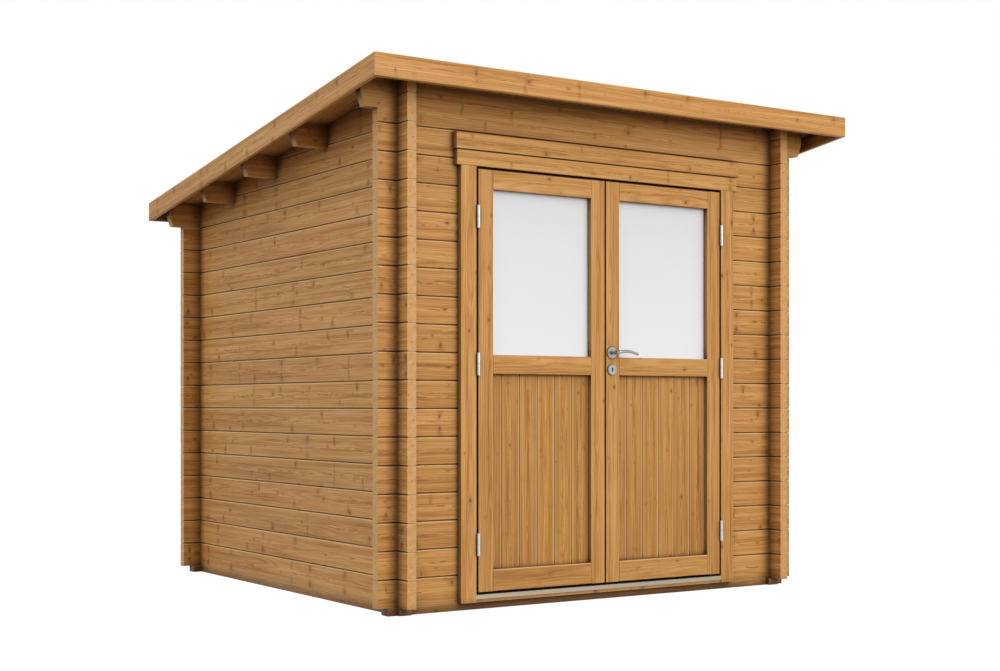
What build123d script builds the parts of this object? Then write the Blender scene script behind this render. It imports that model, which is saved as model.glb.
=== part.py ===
"""Garden shed of machined timber logs with a pent roof and a glazed double door.

Every wall is a stack of tongued logs whose long edges are bevelled, so a V groove
marks each row. At the corners the logs of two walls are half cut into each other and
run on past the crossing. The front is higher than the back, and purlins let into the
side walls carry roof boards that fall towards the back.

X runs along the front, Y runs from the front to the back and Z is up. The origin is on
the ground under the middle of the roof.
"""

import os
from math import atan, cos, degrees

from build123d import *

# Driving dimensions, in millimetres

# Walls, over their outer faces
wall_width = 2155
wall_depth = 2168
log_thickness = 44
log_height = 120
log_bevel = 5
front_rows = 17
back_rows = 15
front_half_log = 60
front_top_log = 116
back_top_log = 120

# How far the logs run on past the corners
side_stub = 94
front_stub = 84
back_stub = 60

# Foundation beams and floor
foundation_height = 33
foundation_width = 60
foundation_side_stub = 43
foundation_front_stub = 18
floor_board = 18
joist_width = 45
joist_count = 4

# Roof
side_overhang = 240
front_overhang = 240
back_overhang = 80
roof_board = 18
roof_board_cover = 95
roof_board_groove = 3
roof_felt = 3
fascia_thickness = 18
fascia_height = 95
purlin_thickness = 44
purlin_height = 105
purlin_reach = 175
purlin_places = (641, 1171, 1670)
end_cut_length = 22
end_cut_height = 60

# Doorway
door_rows = 16
door_clear_width = 1398
frame_thickness = 28
head_thickness = 30
stop_depth = 25
stop_start = 17
casing_width = 78
casing_thickness = 28
casing_head_height = 66
casing_head_reach = 20
drip_board_height = 76
drip_board_gap = 3
drip_board_depth = 36
drip_board_fall = 6
drip_board_reach = 27

# Threshold
sill_height = 27
sill_nose = 24
strip_thickness = 5
strip_front = 19
strip_edge = 2

# Door leaves
leaf_thickness = 40
side_gap = 10.5
meeting_gap = 9
leaf_gap = 12
stile_width = 76
top_rail = 83
middle_rail = 83
bottom_rail = 93
middle_rail_rise = 947
panel_recess = 22
panel_thickness = 14
panel_board = 95
panel_first_board = 57
panel_groove = 3
glass_recess = 30
glass_thickness = 4
edge_in_groove = 10

# Hinges
hinge_height = 96
hinge_inset = 207
hinge_barrel = 15
hinge_pin = 8
hinge_pin_play = 1
hinge_out = 8
hinge_leaf = 2
hinge_leaf_depth = 24
hinge_gap = 1.5

# Eased edges of the planed boards
arris = 2

# Lever handle
handle_backset = 30
handle_rise = 1051
key_drop = 78
rose_diameter = 54
escutcheon_diameter = 48
rose_thickness = 8
neck_diameter = 18
neck_play = 0.3
lever_diameter = 15
lever_facets = 12
lever_stand_off = 54
lever_length = 112
lever_rise = 5
lever_droop = 9
rose_chamfer = 2
spindle_width = 8
spindle_bore = 20
key_hole_width = 8
key_hole_length = 20

# Places worked out from the sizes above
left = -wall_width / 2
right = wall_width / 2
front = front_overhang - (wall_depth + front_overhang + back_overhang) / 2
back = front + wall_depth
front_log_top = foundation_height + front_rows * log_height + front_half_log
back_log_top = foundation_height + back_rows * log_height
front_soffit = front_log_top + front_top_log
back_soffit = back_log_top + back_top_log
roof_fall = (front_soffit - back_soffit) / wall_depth
roof_front = front - front_overhang
roof_back = back + back_overhang
roof_half_width = wall_width / 2 + side_overhang
row_joints = [foundation_height + log_height * row for row in range(1, front_rows + 2)]
print("roof slope, degrees:", round(degrees(atan(roof_fall)), 2))
os.makedirs("parts", exist_ok=True)


def soffit(y):
    """Height of the underside of the roof boards above the point y."""
    return front_soffit - roof_fall * (y - front)


def sloping_band(low, high, y_start, y_end, half_width):
    """A slab that follows the roof, from low to high above the soffit."""
    with BuildPart() as band:
        with BuildSketch(Plane.YZ.offset(-half_width)):
            with BuildLine():
                Polyline(
                    (y_start, soffit(y_start) + low),
                    (y_end, soffit(y_end) + low),
                    (y_end, soffit(y_end) + high),
                    (y_start, soffit(y_start) + high),
                    close=True,
                )
            make_face()
        extrude(amount=2 * half_width)
    return band.part


def log_section(plane, bottom, top):
    """Section of stacked logs on a plane, with a V groove in both faces at each joint.

    The plane's origin is on the outer face of the wall.
    """
    outer = [(0, bottom)]
    for joint in row_joints:
        if bottom + log_bevel < joint < top - log_bevel:
            outer += [(0, joint - log_bevel), (log_bevel, joint), (0, joint + log_bevel)]
    outer.append((0, top))
    inner = [(log_thickness - across, height) for across, height in reversed(outer)]
    with BuildSketch(plane) as section:
        with BuildLine():
            Polyline(*outer, *inner, close=True)
        make_face()
    return section.sketch


def crossing(x, y, spans):
    """Blocks of one log's thickness at a corner, from the low to the high of each span."""
    with BuildPart() as blocks:
        for low, high in spans:
            with Locations((x, y, (low + high) / 2)):
                Box(log_thickness, log_thickness, high - low)
    return blocks.part


# Which heights each wall keeps where two walls cross. A front or back log keeps the upper
# half of its row there, and a side log keeps the lower half.
front_bottoms = [foundation_height + log_height * row for row in range(front_rows)]
back_bottoms = [foundation_height + log_height * row for row in range(back_rows)]
half_log_bottom = foundation_height + front_rows * log_height
front_lower = [(z, z + log_height / 2) for z in front_bottoms]
front_lower.append((half_log_bottom, half_log_bottom + front_half_log / 2))
front_upper = [(z + log_height / 2, z + log_height) for z in front_bottoms]
front_upper.append((half_log_bottom + front_half_log / 2, front_log_top))
back_lower = [(z, z + log_height / 2) for z in back_bottoms]
back_upper = [(z + log_height / 2, z + log_height) for z in back_bottoms]
front_top_seat = front_log_top + front_top_log / 2
back_top_seat = back_log_top + back_top_log / 2
above_all = front_soffit + front_overhang

corner_left = left + log_thickness / 2
corner_right = right - log_thickness / 2
corner_front = front + log_thickness / 2
corner_back = back - log_thickness / 2

above_soffit = sloping_band(0, above_all, roof_front, roof_back, roof_half_width)


# Foundation beams, half lapped at the corners
lap = foundation_height / 2
beam_x = wall_width / 2 - foundation_width / 2
for name, y_outer, inward in (("foundation_front", front, 1), ("foundation_back", back, -1)):
    with BuildPart() as beam:
        with Locations((0, y_outer + inward * foundation_width / 2, 0)):
            Box(
                wall_width + 2 * foundation_side_stub,
                foundation_width,
                foundation_height,
                align=(Align.CENTER, Align.CENTER, Align.MIN),
            )
        with Locations(
            (-beam_x, y_outer + inward * foundation_width / 2, 0),
            (beam_x, y_outer + inward * foundation_width / 2, 0),
        ):
            Box(
                foundation_width,
                foundation_width,
                lap,
                align=(Align.CENTER, Align.CENTER, Align.MIN),
                mode=Mode.SUBTRACT,
            )
    beam.part.label = name
    export_step(beam.part, f"parts/{name}.step")

for name, x_middle in (("foundation_left", -beam_x), ("foundation_right", beam_x)):
    with BuildPart() as beam:
        with Locations((x_middle, (front + back) / 2, 0)):
            Box(
                foundation_width,
                wall_depth + 2 * foundation_front_stub,
                foundation_height,
                align=(Align.CENTER, Align.CENTER, Align.MIN),
            )
        with Locations(
            (x_middle, front + foundation_width / 2, lap),
            (x_middle, back - foundation_width / 2, lap),
        ):
            Box(
                foundation_width,
                foundation_width,
                foundation_height - lap,
                align=(Align.CENTER, Align.CENTER, Align.MIN),
                mode=Mode.SUBTRACT,
            )
    beam.part.label = name
    export_step(beam.part, f"parts/{name}.step")

# Floor joists between the side beams, and the floor boards on them
joist_length = wall_width - 2 * foundation_width
joist_span = wall_depth - 2 * foundation_width
with BuildPart() as floor_joists:
    with BuildSketch(Plane.XY):
        with Locations((0, (front + back) / 2)):
            with GridLocations(0, joist_span / (joist_count + 1), 1, joist_count):
                Rectangle(joist_length, joist_width)
    extrude(amount=foundation_height)
floor_joists.part.label = "floor_joists"
export_step(floor_joists.part, "parts/floor_joists.step")

with BuildPart() as floor_boards:
    with BuildSketch(Plane.XY.offset(foundation_height)):
        with Locations((0, (front + back) / 2)):
            Rectangle(wall_width - 2 * log_thickness, wall_depth - 2 * log_thickness)
    extrude(amount=floor_board)
floor_boards.part.label = "floor_boards"
export_step(floor_boards.part, "parts/floor_boards.step")

# Purlins and the two top logs, with their ends cut back underneath
beam_half = wall_width / 2 + purlin_reach


def end_cuts(bottom):
    """The two wedges cut from under the ends of a purlin that starts at this height."""
    with BuildSketch(Plane.XZ.offset(-roof_back)) as wedges:
        for end in (-1, 1):
            with BuildLine():
                Polyline(
                    (end * beam_half, bottom),
                    (end * (beam_half - end_cut_length), bottom),
                    (end * beam_half, bottom + end_cut_height),
                    close=True,
                )
            make_face()
    return wedges.sketch


purlins = []
for name, place in zip(("purlin_front", "purlin_middle", "purlin_back"), purlin_places):
    purlin_front = front + place
    purlin_bottom = soffit(purlin_front) - purlin_height
    with BuildPart() as purlin:
        with BuildSketch(Plane.YZ.offset(-beam_half)):
            with BuildLine():
                Polyline(
                    (purlin_front, purlin_bottom),
                    (purlin_front + purlin_thickness, purlin_bottom),
                    (purlin_front + purlin_thickness, soffit(purlin_front + purlin_thickness)),
                    (purlin_front, soffit(purlin_front)),
                    close=True,
                )
            make_face()
        extrude(amount=2 * beam_half)
        extrude(
            to_extrude=end_cuts(purlin_bottom),
            amount=roof_back - roof_front,
            mode=Mode.SUBTRACT,
        )
    purlin.part.label = name
    export_step(purlin.part, f"parts/{name}.step")
    purlins.append(purlin.part)

top_logs = (
    ("front_top_log", front, front_log_top, front_top_seat, corner_front),
    ("back_top_log", back - log_thickness, back_log_top, back_top_seat, corner_back),
)
for name, y_start, bottom, seat, corner_y in top_logs:
    with BuildPart() as top_log:
        with BuildSketch(Plane.YZ.offset(-beam_half)):
            with BuildLine():
                Polyline(
                    (y_start, bottom),
                    (y_start + log_thickness, bottom),
                    (y_start + log_thickness, soffit(y_start + log_thickness)),
                    (y_start, soffit(y_start)),
                    close=True,
                )
            make_face()
        extrude(amount=2 * beam_half)
        extrude(
            to_extrude=end_cuts(bottom),
            amount=roof_back - roof_front,
            mode=Mode.SUBTRACT,
        )
        add(crossing(corner_left, corner_y, [(bottom, seat)]), mode=Mode.SUBTRACT)
        add(crossing(corner_right, corner_y, [(bottom, seat)]), mode=Mode.SUBTRACT)
    top_log.part.label = name
    export_step(top_log.part, f"parts/{name}.step")

# Front wall, beside and over the doorway
doorway_half = door_clear_width / 2 + frame_thickness
doorway_top = foundation_height + door_rows * log_height
front_plane = Plane(origin=(left - side_stub, front, 0), x_dir=(0, 1, 0), z_dir=(1, 0, 0))
front_side_length = wall_width / 2 + side_stub - doorway_half

with BuildPart() as front_wall_left:
    extrude(to_extrude=log_section(front_plane, foundation_height, front_log_top),
            amount=front_side_length)
    add(crossing(corner_left, corner_front, front_lower), mode=Mode.SUBTRACT)
front_wall_left.part.label = "front_wall_left"
export_step(front_wall_left.part, "parts/front_wall_left.step")

with BuildPart() as front_wall_right:
    mirror(front_wall_left.part, about=Plane.YZ)
front_wall_right.part.label = "front_wall_right"
export_step(front_wall_right.part, "parts/front_wall_right.step")

over_plane = Plane(origin=(-doorway_half, front, 0), x_dir=(0, 1, 0), z_dir=(1, 0, 0))
with BuildPart() as front_wall_over_door:
    extrude(to_extrude=log_section(over_plane, doorway_top, front_log_top),
            amount=2 * doorway_half)
front_wall_over_door.part.label = "front_wall_over_door"
export_step(front_wall_over_door.part, "parts/front_wall_over_door.step")

# Back wall, in one piece
back_plane = Plane(
    origin=(left - side_stub, back - log_thickness, 0), x_dir=(0, 1, 0), z_dir=(1, 0, 0)
)
with BuildPart() as back_wall:
    extrude(to_extrude=log_section(back_plane, foundation_height, back_log_top),
            amount=wall_width + 2 * side_stub)
    add(crossing(corner_left, corner_back, back_lower), mode=Mode.SUBTRACT)
    add(crossing(corner_right, corner_back, back_lower), mode=Mode.SUBTRACT)
back_wall.part.label = "back_wall"
export_step(back_wall.part, "parts/back_wall.step")

# Side walls, cut to the slope of the roof and pocketed for the purlins
side_plane = Plane(origin=(left, back + back_stub, 0), x_dir=(1, 0, 0), z_dir=(0, -1, 0))
with BuildPart() as left_wall:
    extrude(to_extrude=log_section(side_plane, foundation_height, above_all),
            amount=wall_depth + front_stub + back_stub)
    add(above_soffit, mode=Mode.SUBTRACT)
    for purlin_part in purlins:
        add(purlin_part, mode=Mode.SUBTRACT)
    add(crossing(corner_left, corner_front, front_upper), mode=Mode.SUBTRACT)
    add(crossing(corner_left, corner_front, [(front_top_seat, above_all)]), mode=Mode.SUBTRACT)
    add(crossing(corner_left, corner_back, back_upper), mode=Mode.SUBTRACT)
    add(crossing(corner_left, corner_back, [(back_top_seat, above_all)]), mode=Mode.SUBTRACT)
left_wall.part.label = "left_wall"
export_step(left_wall.part, "parts/left_wall.step")

with BuildPart() as right_wall:
    mirror(left_wall.part, about=Plane.YZ)
right_wall.part.label = "right_wall"
export_step(right_wall.part, "parts/right_wall.step")

# Roof boards, laid from front to back, and the felt on them
deck_front = roof_front + fascia_thickness
deck_back = roof_back - fascia_thickness
deck_half = roof_half_width - fascia_thickness
deck_slope = atan(roof_fall)
groove_count = int(2 * deck_half / roof_board_cover)
with BuildPart() as roof_boards:
    add(sloping_band(0, roof_board, deck_front, deck_back, deck_half))
    with BuildSketch(Plane.XZ.offset(-deck_front)) as grooves:
        with Locations((0, soffit(deck_front))):
            with GridLocations(roof_board_cover, 0, groove_count, 1):
                RegularPolygon(roof_board_groove, 4)
    extrude(
        amount=(deck_back - deck_front) / cos(deck_slope),
        dir=(0, 1, -roof_fall),
        mode=Mode.SUBTRACT,
    )
roof_boards.part.label = "roof_boards"
export_step(roof_boards.part, "parts/roof_boards.step")

with BuildPart() as roof_felt_sheet:
    add(sloping_band(roof_board, roof_board + roof_felt, deck_front, deck_back, deck_half))
roof_felt_sheet.part.label = "roof_felt"
export_step(roof_felt_sheet.part, "parts/roof_felt.step")

# Fascia boards, mitred at the corners of the roof
fascia_top = roof_board + roof_felt
fascia_band = sloping_band(
    fascia_top - fascia_height, fascia_top, roof_front, roof_back, roof_half_width
)
outer_corners = {
    "front_left": (-roof_half_width, roof_front),
    "front_right": (roof_half_width, roof_front),
    "back_right": (roof_half_width, roof_back),
    "back_left": (-roof_half_width, roof_back),
}
inner_corners = {
    "front_left": (-deck_half, deck_front),
    "front_right": (deck_half, deck_front),
    "back_right": (deck_half, deck_back),
    "back_left": (-deck_half, deck_back),
}
fascia_ends = {
    "fascia_front": ("front_left", "front_right"),
    "fascia_right": ("front_right", "back_right"),
    "fascia_back": ("back_right", "back_left"),
    "fascia_left": ("back_left", "front_left"),
}
outward = {
    "fascia_front": (0, -1, 0),
    "fascia_right": (1, 0, 0),
    "fascia_back": (0, 1, 0),
    "fascia_left": (-1, 0, 0),
}
for name, (start, end) in fascia_ends.items():
    with BuildPart() as fascia:
        with BuildSketch(Plane.XY):
            with BuildLine():
                Polyline(
                    outer_corners[start],
                    outer_corners[end],
                    inner_corners[end],
                    inner_corners[start],
                    close=True,
                )
            make_face()
        extrude(amount=above_all)
        add(fascia_band, mode=Mode.INTERSECT)
        outer_face = fascia.faces().sort_by(Axis((0, 0, 0), outward[name]))[-1]
        long_edges = outer_face.edges().sort_by(SortBy.LENGTH)[-2:]
        chamfer(long_edges.sort_by(Axis.Z)[0], arris)
    fascia.part.label = name
    export_step(fascia.part, f"parts/{name}.step")

# Door frame, rebated so that the leaves close against a stop
clear_half = door_clear_width / 2
head_bottom = doorway_top - head_thickness
frame_back = front + log_thickness
with BuildPart() as door_jamb_right:
    with BuildSketch(Plane.XY.offset(foundation_height)):
        with BuildLine():
            Polyline(
                (clear_half, front),
                (clear_half + frame_thickness, front),
                (clear_half + frame_thickness, frame_back),
                (clear_half - stop_depth, frame_back),
                (clear_half - stop_depth, front + stop_start),
                (clear_half, front + stop_start),
                close=True,
            )
        make_face()
    extrude(amount=head_bottom - stop_depth - foundation_height)
door_jamb_right.part.label = "door_jamb_right"
export_step(door_jamb_right.part, "parts/door_jamb_right.step")

with BuildPart() as door_jamb_left:
    mirror(door_jamb_right.part, about=Plane.YZ)
door_jamb_left.part.label = "door_jamb_left"
export_step(door_jamb_left.part, "parts/door_jamb_left.step")

with BuildPart() as door_head:
    with BuildSketch(Plane.YZ.offset(-doorway_half)):
        with Locations((front, head_bottom)):
            Rectangle(log_thickness, head_thickness, align=(Align.MIN, Align.MIN))
    extrude(amount=2 * doorway_half)
    with BuildSketch(Plane.YZ.offset(stop_depth - clear_half)):
        with Locations((front + stop_start, head_bottom)):
            Rectangle(log_thickness - stop_start, stop_depth, align=(Align.MIN, Align.MAX))
    extrude(amount=2 * (clear_half - stop_depth))
door_head.part.label = "door_head"
export_step(door_head.part, "parts/door_head.step")

# Sill under the leaves, with a metal strip over its top and its nose
sill_top = foundation_height + sill_height
casing_front = front - casing_thickness
sill_front = front - sill_nose
with BuildPart() as door_sill:
    with BuildSketch(Plane.YZ.offset(-clear_half)):
        with Locations((sill_front, foundation_height)):
            Rectangle(sill_nose + stop_start, sill_height, align=(Align.MIN, Align.MIN))
    extrude(amount=2 * clear_half)
    with BuildSketch(Plane.YZ.offset(stop_depth - clear_half)):
        with Locations((front + stop_start, foundation_height)):
            Rectangle(log_thickness - stop_start, sill_height, align=(Align.MIN, Align.MIN))
    extrude(amount=2 * (clear_half - stop_depth))
door_sill.part.label = "door_sill"
export_step(door_sill.part, "parts/door_sill.step")

with BuildPart() as threshold_strip:
    with BuildSketch(Plane.YZ.offset(-clear_half)):
        with BuildLine():
            Polyline(
                (sill_front - strip_edge, sill_top + strip_thickness),
                (sill_front - strip_edge, sill_top + strip_thickness - strip_front),
                (sill_front, sill_top + strip_thickness - strip_front),
                (sill_front, sill_top),
                (front + stop_start, sill_top),
                (front + stop_start, sill_top + strip_thickness),
                close=True,
            )
        make_face()
    extrude(amount=2 * clear_half)
threshold_strip.part.label = "threshold_strip"
export_step(threshold_strip.part, "parts/threshold_strip.step")

# Casing boards on the face of the wall, and the drip board above them
casing_outer = clear_half + casing_width
with BuildPart() as casing_right:
    with BuildSketch(Plane.XY.offset(foundation_height)):
        with Locations((clear_half, front)):
            Rectangle(casing_width, casing_thickness, align=(Align.MIN, Align.MAX))
    extrude(amount=head_bottom - foundation_height)
    chamfer(casing_right.edges().filter_by(Axis.Z).group_by(Axis.Y)[0], arris)
casing_right.part.label = "casing_right"
export_step(casing_right.part, "parts/casing_right.step")

with BuildPart() as casing_left:
    mirror(casing_right.part, about=Plane.YZ)
casing_left.part.label = "casing_left"
export_step(casing_left.part, "parts/casing_left.step")

casing_head_half = casing_outer + casing_head_reach
with BuildPart() as casing_head:
    with BuildSketch(Plane.YZ.offset(-casing_head_half)):
        with Locations((front, head_bottom)):
            Rectangle(casing_thickness, casing_head_height, align=(Align.MAX, Align.MIN))
    extrude(amount=2 * casing_head_half)
    chamfer(casing_head.edges().filter_by(Axis.X).group_by(Axis.Y)[0], arris)
casing_head.part.label = "casing_head"
export_step(casing_head.part, "parts/casing_head.step")

drip_bottom = head_bottom + casing_head_height + drip_board_gap
drip_half = casing_outer + drip_board_reach
with BuildPart() as drip_board:
    with BuildSketch(Plane.YZ.offset(-drip_half)):
        with BuildLine():
            Polyline(
                (front, drip_bottom),
                (front - drip_board_depth, drip_bottom),
                (front - drip_board_depth, drip_bottom + drip_board_height - drip_board_fall),
                (front, drip_bottom + drip_board_height),
                close=True,
            )
        make_face()
    extrude(amount=2 * drip_half)
    chamfer(drip_board.edges().filter_by(Axis.X).group_by(Axis.Y)[0], arris)
drip_board.part.label = "drip_board"
export_step(drip_board.part, "parts/drip_board.step")

# Door leaves: two stiles, three rails, a boarded panel below and a pane above
leaf_front = casing_front
leaf_back = leaf_front + leaf_thickness
leaf_outer = clear_half - side_gap
leaf_width = leaf_outer - meeting_gap / 2
leaf_bottom = sill_top + strip_thickness + leaf_gap
leaf_top = head_bottom - leaf_gap
middle_bottom = leaf_bottom + middle_rail_rise
middle_top = middle_bottom + middle_rail
light_width = leaf_width - 2 * stile_width
panel_front = leaf_front + panel_recess
glass_front = leaf_front + glass_recess
panel_low = leaf_bottom + bottom_rail - edge_in_groove
panel_high = middle_bottom + edge_in_groove
glass_low = middle_top - edge_in_groove
glass_high = leaf_top - top_rail + edge_in_groove
sheet_width = light_width + 2 * edge_in_groove
handle_x = meeting_gap / 2 + handle_backset
handle_z = leaf_bottom + handle_rise


def block(corner, size):
    """A plain block from its lowest corner and its size."""
    with BuildPart() as shape:
        with Locations(corner):
            Box(*size, align=(Align.MIN, Align.MIN, Align.MIN))
    return shape.part


for side, leaf_left in (("left", -leaf_outer), ("right", meeting_gap / 2)):
    sheet_left = leaf_left + stile_width - edge_in_groove
    panel_blank = block(
        (sheet_left, panel_front, panel_low),
        (sheet_width, panel_thickness, panel_high - panel_low),
    )
    pane_blank = block(
        (sheet_left, glass_front, glass_low),
        (sheet_width, glass_thickness, glass_high - glass_low),
    )

    with BuildPart() as stiles:
        with Locations(
            (leaf_left, leaf_front, leaf_bottom),
            (leaf_left + leaf_width - stile_width, leaf_front, leaf_bottom),
        ):
            Box(
                stile_width,
                leaf_thickness,
                leaf_top - leaf_bottom,
                align=(Align.MIN, Align.MIN, Align.MIN),
            )
        chamfer(stiles.edges().filter_by(Axis.Z).group_by(Axis.Y)[0], arris)
        add(panel_blank, mode=Mode.SUBTRACT)
        add(pane_blank, mode=Mode.SUBTRACT)
        if side == "right":
            with BuildSketch(Plane.XZ.offset(-leaf_back)):
                with Locations((handle_x, handle_z)):
                    Circle(spindle_bore / 2)
                with Locations((handle_x, handle_z - key_drop)):
                    SlotOverall(key_hole_length, key_hole_width, rotation=90)
            extrude(amount=leaf_thickness, mode=Mode.SUBTRACT)
    stiles.part.label = f"{side}_door_stiles"
    export_step(stiles.part, f"parts/{side}_door_stiles.step")

    with BuildPart() as rails:
        for rail_bottom, rail_height in (
            (leaf_bottom, bottom_rail),
            (middle_bottom, middle_rail),
            (leaf_top - top_rail, top_rail),
        ):
            with Locations((leaf_left + stile_width, leaf_front, rail_bottom)):
                Box(
                    light_width,
                    leaf_thickness,
                    rail_height,
                    align=(Align.MIN, Align.MIN, Align.MIN),
                )
        chamfer(rails.edges().filter_by(Axis.X).group_by(Axis.Y)[0], arris)
        add(panel_blank, mode=Mode.SUBTRACT)
        add(pane_blank, mode=Mode.SUBTRACT)
    rails.part.label = f"{side}_door_rails"
    export_step(rails.part, f"parts/{side}_door_rails.step")

    panel_joints = []
    joint = leaf_left + stile_width + panel_first_board
    while joint < leaf_left + leaf_width - stile_width - 2 * panel_groove:
        panel_joints.append(joint)
        joint += panel_board
    with BuildPart() as panel:
        add(panel_blank)
        with BuildSketch(Plane.XY.offset(panel_low)):
            for joint in panel_joints:
                with Locations((joint, panel_front), (joint, panel_front + panel_thickness)):
                    RegularPolygon(panel_groove, 4)
        extrude(amount=panel_high - panel_low, mode=Mode.SUBTRACT)
    panel.part.label = f"{side}_door_panel"
    export_step(panel.part, f"parts/{side}_door_panel.step")

    with BuildPart() as pane:
        add(pane_blank)
    pane.part.label = f"{side}_door_glass"
    export_step(pane.part, f"parts/{side}_door_glass.step")

# Lift-off hinges: the frame half carries the pin, and the leaf half drops over it
axis_x = (clear_half + leaf_outer) / 2
axis_y = leaf_front - hinge_out
knuckle = (hinge_height - hinge_gap) / 2
hinge_bottoms = (
    leaf_bottom + hinge_inset - hinge_height / 2,
    middle_bottom + middle_rail / 2 - hinge_height / 2,
    leaf_top - hinge_inset - hinge_height / 2,
)
with BuildPart() as right_frame_hinges:
    for bottom in hinge_bottoms:
        with Locations((axis_x, axis_y, bottom)):
            Cylinder(hinge_barrel / 2, knuckle, align=(Align.CENTER, Align.CENTER, Align.MIN))
            Cylinder(
                hinge_pin / 2,
                hinge_height - hinge_pin / 2,
                align=(Align.CENTER, Align.CENTER, Align.MIN),
            )
        with Locations((clear_half, leaf_front, bottom)):
            Box(
                hinge_leaf,
                hinge_leaf_depth,
                hinge_height,
                align=(Align.MAX, Align.MIN, Align.MIN),
            )
            Box(
                hinge_leaf,
                hinge_out,
                knuckle,
                align=(Align.MAX, Align.MAX, Align.MIN),
            )
right_frame_hinges.part.label = "right_frame_hinges"
export_step(right_frame_hinges.part, "parts/right_frame_hinges.step")

with BuildPart() as left_frame_hinges:
    mirror(right_frame_hinges.part, about=Plane.YZ)
left_frame_hinges.part.label = "left_frame_hinges"
export_step(left_frame_hinges.part, "parts/left_frame_hinges.step")

with BuildPart() as right_door_hinges:
    for bottom in hinge_bottoms:
        upper = bottom + knuckle + hinge_gap
        with Locations((axis_x, axis_y, upper)):
            Cylinder(hinge_barrel / 2, knuckle, align=(Align.CENTER, Align.CENTER, Align.MIN))
        with Locations((leaf_outer, leaf_front, upper)):
            Box(
                hinge_leaf,
                hinge_out,
                knuckle,
                align=(Align.MIN, Align.MAX, Align.MIN),
            )
        with Locations((leaf_outer, leaf_front, bottom)):
            Box(
                hinge_leaf,
                hinge_leaf_depth,
                hinge_height,
                align=(Align.MIN, Align.MIN, Align.MIN),
            )
        with Locations((axis_x, axis_y, upper)):
            Cylinder(
                hinge_pin / 2 + hinge_pin_play,
                knuckle - hinge_leaf,
                align=(Align.CENTER, Align.CENTER, Align.MIN),
                mode=Mode.SUBTRACT,
            )
right_door_hinges.part.label = "right_door_hinges"
export_step(right_door_hinges.part, "parts/right_door_hinges.step")

with BuildPart() as left_door_hinges:
    mirror(right_door_hinges.part, about=Plane.YZ)
left_door_hinges.part.label = "left_door_hinges"
export_step(left_door_hinges.part, "parts/left_door_hinges.step")

# Lever handle on both faces of the right leaf, on one square spindle
lever_y = leaf_front - lever_stand_off
leaf_middle = Plane.XZ.offset(-(leaf_front + leaf_thickness / 2))
with BuildPart() as lever_roses:
    with BuildSketch(Plane.XZ.offset(-leaf_front)):
        with Locations((handle_x, handle_z)):
            Circle(rose_diameter / 2)
            Circle(neck_diameter / 2 + neck_play, mode=Mode.SUBTRACT)
    extrude(amount=rose_thickness)
    rims = lever_roses.edges().filter_by(GeomType.CIRCLE).group_by(Axis.Y)[0]
    chamfer(rims.sort_by(SortBy.RADIUS)[-1], rose_chamfer)
    mirror(lever_roses.part, about=leaf_middle)
lever_roses.part.label = "lever_roses"
export_step(lever_roses.part, "parts/lever_roses.step")

with BuildPart() as key_escutcheons:
    with BuildSketch(Plane.XZ.offset(-leaf_front)):
        with Locations((handle_x, handle_z - key_drop)):
            Circle(escutcheon_diameter / 2)
            SlotOverall(key_hole_length, key_hole_width, rotation=90, mode=Mode.SUBTRACT)
    extrude(amount=rose_thickness)
    mirror(key_escutcheons.part, about=leaf_middle)
key_escutcheons.part.label = "key_escutcheons"
export_step(key_escutcheons.part, "parts/key_escutcheons.step")

# The neck stands square to the leaf, and the bar leaves it in a shallow bow
neck_seat = leaf_front - spindle_width / 4
with BuildPart() as lever_handle:
    with BuildSketch(Plane.XZ.offset(-neck_seat)):
        with Locations((handle_x, handle_z)):
            Circle(neck_diameter / 2)
    extrude(amount=neck_seat - (lever_y - lever_diameter / 2))
    with BuildLine(Plane.XZ.offset(-lever_y)) as bow:
        ThreePointArc(
            (handle_x, handle_z),
            (handle_x + lever_length / 2, handle_z + lever_rise),
            (handle_x + lever_length, handle_z - lever_droop),
        )
    with BuildSketch(Plane(origin=bow.line @ 0, z_dir=bow.line % 0)):
        RegularPolygon(lever_diameter / 2, lever_facets)
    sweep(path=bow.line)
    mirror(lever_handle.part, about=leaf_middle)
    with BuildSketch(Plane.XZ.offset(-neck_seat)):
        with Locations((handle_x, handle_z)):
            Rectangle(spindle_width, spindle_width)
    extrude(amount=-(leaf_thickness + spindle_width / 2))
lever_handle.part.label = "lever_handle"
export_step(lever_handle.part, "parts/lever_handle.step")
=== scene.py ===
# %% [markdown]
# # A timber garden shed
#
# The shed is a stack of machined softwood logs under a pent roof, with a glazed double door.
# The solid model gives every piece at its real size. Here those pieces get their finishes,
# and the small things that a solid model leaves out are added: the beads round the glass,
# the laps of the roofing felt and the nails.

# %% Load the solid model
import math

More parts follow.
